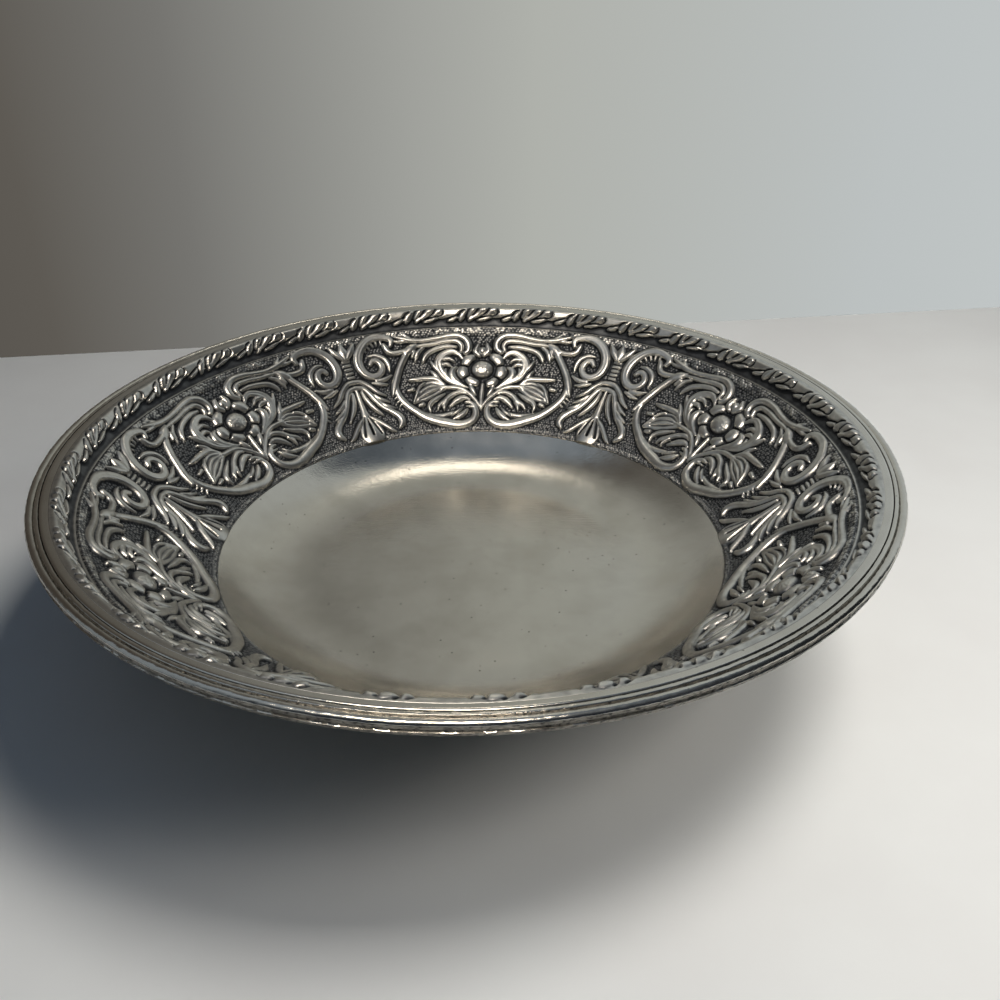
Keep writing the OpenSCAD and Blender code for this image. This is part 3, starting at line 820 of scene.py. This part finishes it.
def ridge(us, vs, points, groove=0.0):
    """The window of a field that a stroke covers, the stroke's rounded ridge in it, and how near its crest is."""
    s = spline(points)
    half = s[:, 2] * FULLNESS / 2
    low, high = (s[:, :2] - half[:, None]).min(0), (s[:, :2] + half[:, None]).max(0)
    i = slice(*np.searchsorted(us, (low[0], high[0])))
    j = slice(*np.searchsorted(vs, (low[1], high[1])))
    off = np.hypot(us[None, i, None] - s[:, 0], vs[j, None, None] - s[:, 1]) / half
    crest = NARROW_HIGH + (1 - NARROW_HIGH) * np.sqrt(half[off.argmin(-1)] / half.max())
    off = off.min(-1)
    arch = np.clip(1 - off**2, 0, 1) ** 0.5
    return (j, i), crest * arch * (1 - groove * np.exp(-((off / GROOVE_WIDE) ** 2))), arch


print("strokes can be raised")

# %% [markdown]
# Four more tools finish the field. Small round pebbles cover the ground, set close but never quite in rows. A
# soft step and a blur ease one height into the next. No hand draws two curls alike, so slow waves bend the
# strokes a little, less and less towards the cuts between the panels, where the ends have to meet.

# %% Pebbles and soft edges
ROW = 0.87
SCATTER = 0.22
GRAIN_R, GRAIN_ROUND = 0.52, 0.6
NO_GRAIN = 9.0
WOBBLE = 0.35
WAVE_U, WAVE_V = (0.31, 0.23, 1.0), (0.27, -0.19, 2.2)
rng = np.random.default_rng(7)


def smooth_step(low, high, x):
    """Rises softly from 0 at one place to 1 at another."""
    t = np.clip((x - low) / (high - low), 0, 1)
    return t * t * (3 - 2 * t)


def pebbles(us, vs, spacing):
    """Close-set round grains one unit high, no two rows alike."""
    x, y = us[None, :] / spacing, vs[:, None] / (ROW * spacing)
    near = np.full((len(vs), len(us)), NO_GRAIN)
    columns, rows = int(x.max() - x.min()) + 4, int(y.max()) + 4
    shift = rng.uniform(-SCATTER, SCATTER, (2, rows, columns))
    for j in range(rows):
        band = np.abs(vs / (ROW * spacing) - j + 1) < 1.6
        for i in range(columns):
            cx = i - 2 + x.min() + 0.5 * (j % 2) + shift[0, j, i]
            cy = j - 1 + shift[1, j, i]
            a, b = np.searchsorted(us / spacing, [cx - 1.2, cx + 1.2])
            part = np.hypot(x[:, a:b] - cx, ROW * (y[band] - cy))
            near[band, a:b] = np.minimum(near[band, a:b], part)
    return np.clip(1 - (near / GRAIN_R) ** 2, 0, 1) ** GRAIN_ROUND


def blur(h, cells):
    """Softens a height field over a number of cells, in both directions."""
    reach = int(3 * cells) + 1
    kernel = np.exp(-0.5 * (np.arange(-reach, reach + 1) / cells) ** 2)
    kernel /= kernel.sum()
    for axis in (0, 1):
        ends = [(reach, reach) if axis == k else (0, 0) for k in (0, 1)]
        padded = np.pad(h, ends, mode="edge")
        h = np.apply_along_axis(lambda line: np.convolve(line, kernel, mode="valid"), axis, padded)
    return h


def wobble(points):
    """Bends a stroke by slow waves that die out at the cuts between the panels."""
    p = np.array(points, float)
    fade = WOBBLE * np.cos(np.clip(p[:, 0] / PANEL_HALF, -1, 1) * math.pi / 2)
    for axis, (along, across, start) in enumerate((WAVE_U, WAVE_V)):
        p[:, axis] += fade * np.sin(p[:, 0] * along + p[:, 1] * across + start)
    return p


print("pebbles and soft edges ready")

# %% [markdown]
# The drawing becomes a height field: a grid of points about a third of a millimetre apart. The steps of the
# drawing are worked through in order. Where two ridges meet the higher one wins, which leaves a sharp crease
# between them as in carving. Each step is drawn three times, a panel's length apart, so that what crosses a cut
# shows on both sides of it.

# %% Carve the panel
CELL = 0.30
CUT_INTO = 0.8
CUT_STAIN = 0.7
band_r = np.linspace(band_foot_r + 0.02, band_top_r - 0.02, 80)
band_z = np.array([plumb("scroll_band", r) for r in band_r])
band_v = np.concatenate([[0], np.cumsum(np.hypot(np.diff(band_r), np.diff(band_z)))])
band_len = band_v[-1]
panel_us = np.linspace(-PANEL_HALF, PANEL_HALF, int(2 * PANEL_HALF / CELL) + 1)
panel_vs = np.linspace(0, band_len, int(band_len / CELL) + 1)
carving = np.zeros((len(panel_vs), len(panel_us)))
crown = np.zeros_like(carving)


def carve_boss(height, centre_u, centre_v, wide, tall):
    """Sets a round boss into the panel."""
    x, y = (panel_us[None, :] - centre_u) / wide, (panel_vs[:, None] - centre_v) / tall
    dome = np.sqrt(np.clip(1 - x**2 - y**2, 0, 1))
    crown[:] = np.where(height * dome > carving, dome, crown)
    carving[:] = np.maximum(carving, height * dome)


def carve_stroke(kind, height, groove, points):
    """Raises a stroke out of the panel, or cuts it into what stands there."""
    at, shape, arch = ridge(panel_us, panel_vs, wobble(points), groove)
    if kind == "raise":
        crown[at] = np.where(height * shape > carving[at], arch, crown[at])
        carving[at] = np.maximum(carving[at], height * shape)
    else:
        crown[at] *= 1 - min(1, CUT_STAIN * height) * arch
        carving[at] -= height * shape * (carving[at] > CUT_INTO)


for kind, height, groove, sides, what in carving_steps:
    for side in sides:
        for turn in (0, 2 * PANEL_HALF, -2 * PANEL_HALF):
            if kind == "boss":
                (u, v), (wide, tall) = what
                carve_boss(height, side * u + turn, v, wide, tall)
                continue
            for points in what:
                carve_stroke(kind, height, groove, [(side * u + turn, v, w) for u, v, w in points])
carving = np.maximum(carving, 0)
print(f"panel {band_len:.1f} mm up the slope, carved {carving.max():.2f} mm high")

# %% [markdown]
# Then comes the ground. It is pebbled all over and swells into a soft, lumpy roll along the top, and the flower's
# boss is set with smaller seeds. Two more fields go with the heights: how bare each point was wiped, on the
# crests, the tops of the pebbles and the roll, and how deep it sits in a crevice, which darkens the colour
# partly as gathered stain and partly as painted shade.

# %% Ground of the panel
PEBBLE, PEBBLE_HIGH = 1.45, 0.5
SWELL, SWELL_FROM, SWELL_TOP = 1.0, 5.6, 2.2
SEED, SEED_HIGH = 0.62 * PEBBLE, 0.4
SEED_WIDE, SEED_TALL = 5.4, 4.7
CREST_DARK, CREST_BARE = 0.22, 0.7
GROUND_BARE, PEBBLE_BARE, SWELL_BARE = 0.07, 0.62, 0.65
EASED, CREVICE_CELLS, CREVICE = 0.65, 3.0, 0.7
grains = pebbles(panel_us, panel_vs, PEBBLE)
lumps = blur(rng.normal(0, 1, carving.shape), 3.0)
lumps = np.clip(0.5 + 0.3 * lumps / lumps.std(), 0, 1)
from_top = (band_len - panel_vs)[:, None]
rounded = np.sqrt(1 - np.clip(1 - from_top / SWELL_TOP, 0, 1) ** 2)
swell = (1 - smooth_step(SWELL_TOP, SWELL_FROM, from_top)) * rounded
ground = PEBBLE_HIGH * grains + SWELL * swell * (0.7 + 0.5 * lumps)
on_boss = np.hypot(panel_us / SEED_WIDE, (panel_vs[:, None] - FLOWER_V) / SEED_TALL) < 1
seeds = pebbles(panel_us, panel_vs, SEED) * on_boss
panel_h = blur(np.maximum(carving, ground) + SEED_HIGH * seeds, EASED)
on_ground = 1 - smooth_step(0.2, 0.7, carving)
panel_bare = np.maximum(smooth_step(CREST_DARK, CREST_BARE, crown) * (1 - on_ground),
                        on_ground * (GROUND_BARE + PEBBLE_BARE * grains**1.5 + SWELL_BARE * swell * lumps))
# painted shade: crevices found from a blur of the heights darken the colour, over the stain gathered there
panel_crevice_stain_and_shade = np.clip((blur(panel_h, CREVICE_CELLS) - panel_h) / CREVICE, 0, 1) * (1 - 0.6 * swell)
print(f"panel field {panel_h.shape}, {panel_h.max():.2f} mm high")

# %% [markdown]
# A carved ring piece starts as a flat grid with one corner for each point of the field. The corners are set on
# the band's curve and lifted along its normal. Then the lower edge of the grid is extruded round the back in a
# few wide steps, each a turn of scale and move, until it meets the upper edge, and the two ends are capped. The
# faces of the back take the second material, the skin that the sand left.

# %% Carved ring pieces
def set_selection(piece, chosen):
    """Selects just these corners, and the edges between them, in edit mode."""
    bpy.ops.object.mode_set(mode="EDIT")
    bpy.ops.mesh.select_mode(type="VERT")
    bpy.ops.mesh.select_all(action="DESELECT")
    bpy.ops.object.mode_set(mode="OBJECT")
    mask = np.zeros(len(piece.data.vertices), bool)
    mask[chosen] = True
    piece.data.vertices.foreach_set("select", mask)
    bpy.ops.object.mode_set(mode="EDIT")


def carved_piece(name, angles, radius, height, back, numbers):
    """A closed piece: a carved front from grids of radius and height, and a plain back through (r, z) corners."""
    rows, columns = radius.shape
    bpy.ops.object.select_all(action="DESELECT")
    bpy.ops.mesh.primitive_grid_add(x_subdivisions=columns - 1, y_subdivisions=rows - 1, size=1)
    piece = bpy.context.object
    piece.name = piece.data.name = name
    corners = np.stack([radius * np.cos(angles), radius * np.sin(angles), height], -1) * MM
    piece.data.vertices.foreach_set("co", corners.ravel())
    for number, values in numbers.items():
        layer = piece.data.attributes.new(number, "FLOAT", "POINT")
        layer.data.foreach_set("value", values.ravel())
    set_selection(piece, slice(0, columns))
    at = (radius[0, 0], height[0, 0])
    for r, z in back:
        bpy.ops.mesh.extrude_edges_move(TRANSFORM_OT_translate={"value": (0, 0, (z - at[1]) * MM)})
        bpy.ops.transform.resize(value=(r / at[0], r / at[0], 1), center_override=(0, 0, 0))
        at = (r, z)
    bpy.ops.object.mode_set(mode="OBJECT")
    for face in piece.data.polygons[(rows - 1) * (columns - 1):]:
        face.material_index = 1
    bpy.ops.object.mode_set(mode="EDIT")
    bpy.ops.mesh.select_all(action="SELECT")
    bpy.ops.mesh.remove_doubles(threshold=0.004 * MM)
    bpy.ops.mesh.select_all(action="DESELECT")
    bpy.ops.mesh.select_non_manifold()
    bpy.ops.mesh.mark_sharp()
    bpy.ops.mesh.fill_holes(sides=0)
    bpy.ops.mesh.select_all(action="SELECT")
    bpy.ops.mesh.normals_make_consistent(inside=False)
    bpy.ops.object.mode_set(mode="OBJECT")
    return piece


def turned_copy(piece, name, angle):
    """A copy with its own mesh, turned about the axis."""
    twin = piece.copy()
    twin.data = piece.data.copy()
    twin.name = twin.data.name = name
    scene.collection.objects.link(twin)
    twin.data.transform(Matrix.Rotation(angle, 4, "Z"))
    return twin


def ring_of(piece, name, count):
    """A piece and its copies, evenly round the axis."""
    return [piece] + [turned_copy(piece, f"{name}_{k + 1}", 2 * math.pi * k / count) for k in range(1, count)]


print("carving tools ready")

# %% [markdown]
# One panel of the band is carved and copied five times round the bowl. The flower of the first one points
# along +Y, and the cuts between the panels run down the middle of the pendants, where both sides mirror. The
# foot of the band meets the well in a low ragged lip, as the sand mould left it.

# %% Scroll band
LIP_HIGH, LIP_WIDE = 0.4, 4.6
GROUND = -0.45
BACK_FROM_R = 124
slope = np.arctan2(np.gradient(band_z, band_v), np.gradient(band_r, band_v))
base_r, base_z, tilt = (np.interp(panel_vs, band_v, line)[:, None] for line in (band_r, band_z, slope))
up = panel_vs[:, None]
ragged = blur(rng.normal(0, 1, (1, len(panel_us))), 2.5)
ragged = 0.5 + 0.45 * ragged / np.abs(ragged).max() * np.cos(panel_us / PANEL_HALF * math.pi / 2)
lip = np.clip(smooth_step(ragged, ragged + 1.4, up) - smooth_step(1.2, LIP_WIDE, up), 0, 1)
panel_bare = np.maximum(panel_bare, lip * (0.6 + 0.4 * grains))
# painted light: the lowest rows are painted nearly bare, and they and the lip lose their crevice darkening
panel_bare = np.maximum(panel_bare, 0.9 * (1 - smooth_step(0.2, 1.4, up)))
panel_crevice_stain_and_shade = panel_crevice_stain_and_shade * (1 - 0.85 * lip) * smooth_step(0.2, 1.2, up)
settle = GROUND * smooth_step(0, SWELL_TOP, from_top)
lift = settle + np.maximum(panel_h, LIP_HIGH * lip + PEBBLE_HIGH * grains)
lift[-1] = 0
panel_r, panel_z = base_r - lift * np.sin(tilt), base_z + lift * np.cos(tilt)
panel_r[0], panel_z[0] = well_top_r - 0.03, band_foot_z
panel_angles = np.broadcast_to(math.pi / 2 - panel_us / DRAWING_R, lift.shape)
band_back_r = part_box("scroll_band")[1].x / MM
back_curve = [(r, plumb("scroll_band", r, below=True)) for r in np.linspace(BACK_FROM_R, band_back_r - 0.1, 7)]
band_back = ([(LAP_R, band_foot_z), (LAP_R, well_lap_z), (well_back_r, well_lap_z)] + back_curve
             + [(band_back_r, band_top_z), (base_r[-1, 0], base_z[-1, 0])])
panel = carved_piece("scroll_band_1", panel_angles, panel_r, panel_z, band_back,
                     {"relief": panel_bare, "hollow": panel_crevice_stain_and_shade})
bpy.ops.object.shade_smooth()
for piece in ring_of(panel, "scroll_band", PANELS):
    finish(piece, "scroll_band", "antiqued_metal", ANTIQUED, SAND_CAST)

# %% [markdown]
# The leaf border is a dark channel under the flange's rounded edge. Groups of small leaves grow out of it, all
# leaning one way, and lap over the edge; fine cuts part the leaves. One group is drawn here, with the same tools
# as the scrolls: u runs along the border, and v up the hollow and out over the edge.

# %% Leaves of the border
LEAF_GROUPS = 33
LEAVES = [
    [(1.0, 4.2, 1.3), (3.0, 5.0, 2.1), (5.2, 6.2, 1.2)],
    [(6.6, 4.6, 1.8), (7.4, 6.6, 3.0), (8.6, 8.8, 2.0)],
    [(10.6, 6.2, 1.6), (11.6, 8.2, 2.8), (13.0, 10.4, 1.9)],
    [(10.8, 4.3, 1.5), (14.2, 6.6, 2.5), (17.0, 9.4, 3.0), (18.2, 10.5, 2.2)],
    [(18.6, 6.6, 2.6), (20.4, 8.2, 3.8), (22.0, 9.6, 2.6)],
    [(14.6, 4.2, 1.3), (17.6, 4.9, 1.9), (20.6, 5.9, 1.2)],
]
LEAF_VEINS = [
    [(1.2, 5.8, 0.9), (4.0, 7.0, 1.4), (5.8, 7.8, 1.0)],
    [(5.4, 6.2, 0.9), (6.4, 8.8, 1.4), (8.6, 10.3, 1.0)],
    [(8.9, 5.0, 1.0), (9.7, 7.6, 1.4), (10.8, 10.4, 1.0), (12.4, 11.6, 0.8)],
    [(12.4, 7.0, 0.9), (14.0, 9.2, 1.2), (15.6, 11.6, 0.9)],
    [(15.8, 5.9, 0.9), (18.4, 8.4, 1.1), (20.0, 11.2, 0.8)],
    [(12.6, 4.4, 0.9), (17.0, 6.1, 1.3), (20.6, 7.0, 1.1)],
    [(20.4, 6.2, 0.9), (22.6, 7.0, 1.1), (23.6, 8.8, 1.1), (23.2, 10.8, 0.8)],
]
group_u = 2 * math.pi * DRAWING_R / LEAF_GROUPS
print(f"{LEAF_GROUPS} groups of leaves, {group_u:.1f} mm apart")

# %% [markdown]
# The border's section line is read from the frame: up the hollow, round the edge and in to the flange. Its corner
# is rounded by a running mean, and the far end is let down to lie flush with the flange, so that the two read as
# one.

# %% Section of the border
BORDER_PIECES = 3
BORDER_CELL_U, BORDER_CELL_V = 0.34, 0.26
CORNER_SOFT = 2.4
DIP_FROM, DIP_FULL = 5.0, 9.0
hollow_r = np.linspace(band_top_r + 0.02, border_r - 0.02, 40)
line_r = np.concatenate([hollow_r, [border_r, land_r]])
line_z = np.array([plumb("leaf_border", r) for r in hollow_r] + [rim_z, rim_z])
line_v = np.concatenate([[0], np.cumsum(np.hypot(np.diff(line_r), np.diff(line_z)))])
span = LEAF_GROUPS // BORDER_PIECES
border_us = np.linspace(0, span * group_u, int(span * group_u / BORDER_CELL_U) + 1)
border_vs = np.linspace(0, line_v[-1], int(line_v[-1] / BORDER_CELL_V) + 1)


def softened_line(line):
    """The border's section line with its corner rounded, and its two ends kept."""
    sharp = np.interp(border_vs, line_v, line)
    reach = np.linspace(-CORNER_SOFT / 2, CORNER_SOFT / 2, 25)
    around = np.interp(border_vs[:, None] + reach, line_v, line).mean(1)
    ends = np.minimum(border_vs, border_vs[-1] - border_vs) / (CORNER_SOFT / 2)
    return sharp + (around - sharp) * np.clip(ends, 0, 1)


soft_r, soft_z = softened_line(line_r), softened_line(line_z)
soft_z -= FLANGE_DIP * smooth_step(DIP_FROM, DIP_FULL, border_vs)
soft_tilt = np.arctan2(np.gradient(soft_z, border_vs), np.gradient(soft_r, border_vs))[:, None]
print(f"section line {line_v[-1]:.1f} mm long")

# %% [markdown]
# The groups are raised out of the channel one after the other, each a little different, and parted by their
# cuts. A soft ceiling keeps the leaves under the top of the rim. A third of the ring is carved, and copied twice.

# %% Leaf border
CHANNEL_DEEP, EDGE_ROLL, LEAF_HIGH, LEAF_CUT = -0.7, 1.2, 1.5, 1.1
ROLL_RISE, ROLL_FALL = (4.6, 6.8), (7.5, 12.5)
LEAF_ROUND, CUT_ABOVE, LEAF_EASED = 0.6, -0.5, 0.7
LEAF_GREY, LEAF_WIPE, LEAF_CREVICE = 0.34, 1.5, 0.45
LEAF_START = -16.9
LEAF_FULL, VEIN_FULL = 1.2, 0.8
LEAF_SHAKE = (0.3, 0.25, 0.12)
CEILING = 8
BORDER_STEP_Z = 73.05
over = border_vs[:, None]
roll = smooth_step(*ROLL_RISE, over) * (EDGE_ROLL * (1 - smooth_step(*ROLL_FALL, over)) - CHANNEL_DEEP)
leaf_lift = np.maximum(CHANNEL_DEEP + roll, CHANNEL_DEEP * smooth_step(0, 1.2, over)) + np.zeros(len(border_us))
shake = LEAF_SHAKE * rng.uniform(-1, 1, (span, len(LEAF_VEINS), 3))
for strokes, full, tool in ((LEAVES, LEAF_FULL, "raise"), (LEAF_VEINS, VEIN_FULL, "cut")):
    for k in range(-1, span + 2):
        for points, (du, dv, dw) in zip(strokes, shake[k % span]):
            stroke = [(u + du + LEAF_START + k * group_u, v + dv, full * width * (1 + dw))
                      for u, v, width in points]
            at, shape, _ = ridge(border_us, border_vs, stroke)
            if tool == "raise":
                raised = CHANNEL_DEEP + (LEAF_HIGH - CHANNEL_DEEP) * shape**LEAF_ROUND
                leaf_lift[at] = np.maximum(leaf_lift[at], raised)
            else:
                leaf_lift[at] -= LEAF_CUT * shape * (leaf_lift[at] > CUT_ABOVE)
leaf_lift = blur(leaf_lift, LEAF_EASED)
wiped_ends = 0.35 * smooth_step(7.0, 11.0, over) + 0.3 * (1 - smooth_step(0, 2.0, over))
leaf_bare = np.clip(LEAF_GREY + (leaf_lift - CHANNEL_DEEP) / LEAF_WIPE + wiped_ends, 0, 1)
# painted shade: crevices of the leaves darken the colour, over the stain gathered there
leaf_crevice_stain_and_shade = np.clip((blur(leaf_lift, CREVICE_CELLS) - leaf_lift) / LEAF_CREVICE, 0, 1)
leaf_lift[0] = leaf_lift[-1] = 0
leaf_r = soft_r[:, None] - leaf_lift * np.sin(soft_tilt)
leaf_z = soft_z[:, None] + leaf_lift * np.cos(soft_tilt)
leaf_z = rim_z - np.logaddexp(0, CEILING * (rim_z - leaf_z)) / CEILING
leaf_r[-1], leaf_z[-1] = land_r, rim_z - FLANGE_DIP
leaf_r[0], leaf_z[0] = line_r[0], line_z[0]
border_angles = np.broadcast_to(math.pi / 2 - border_us / DRAWING_R, leaf_lift.shape)
border_back_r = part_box("leaf_border")[1].x / MM
border_back = [(band_back_r, band_top_z), (band_back_r, BORDER_STEP_Z), (border_back_r, rim_under_z),
               (border_back_r, ledge_z), (land_r, ledge_z), (land_r, rim_z - FLANGE_DIP)]
leaves = carved_piece("leaf_border_1", border_angles, leaf_r, leaf_z, border_back,
                      {"relief": leaf_bare, "hollow": leaf_crevice_stain_and_shade})
bpy.ops.object.shade_smooth()
for piece in ring_of(leaves, "leaf_border", BORDER_PIECES):
    finish(piece, "leaf_border", "antiqued_metal", ANTIQUED, SAND_CAST)
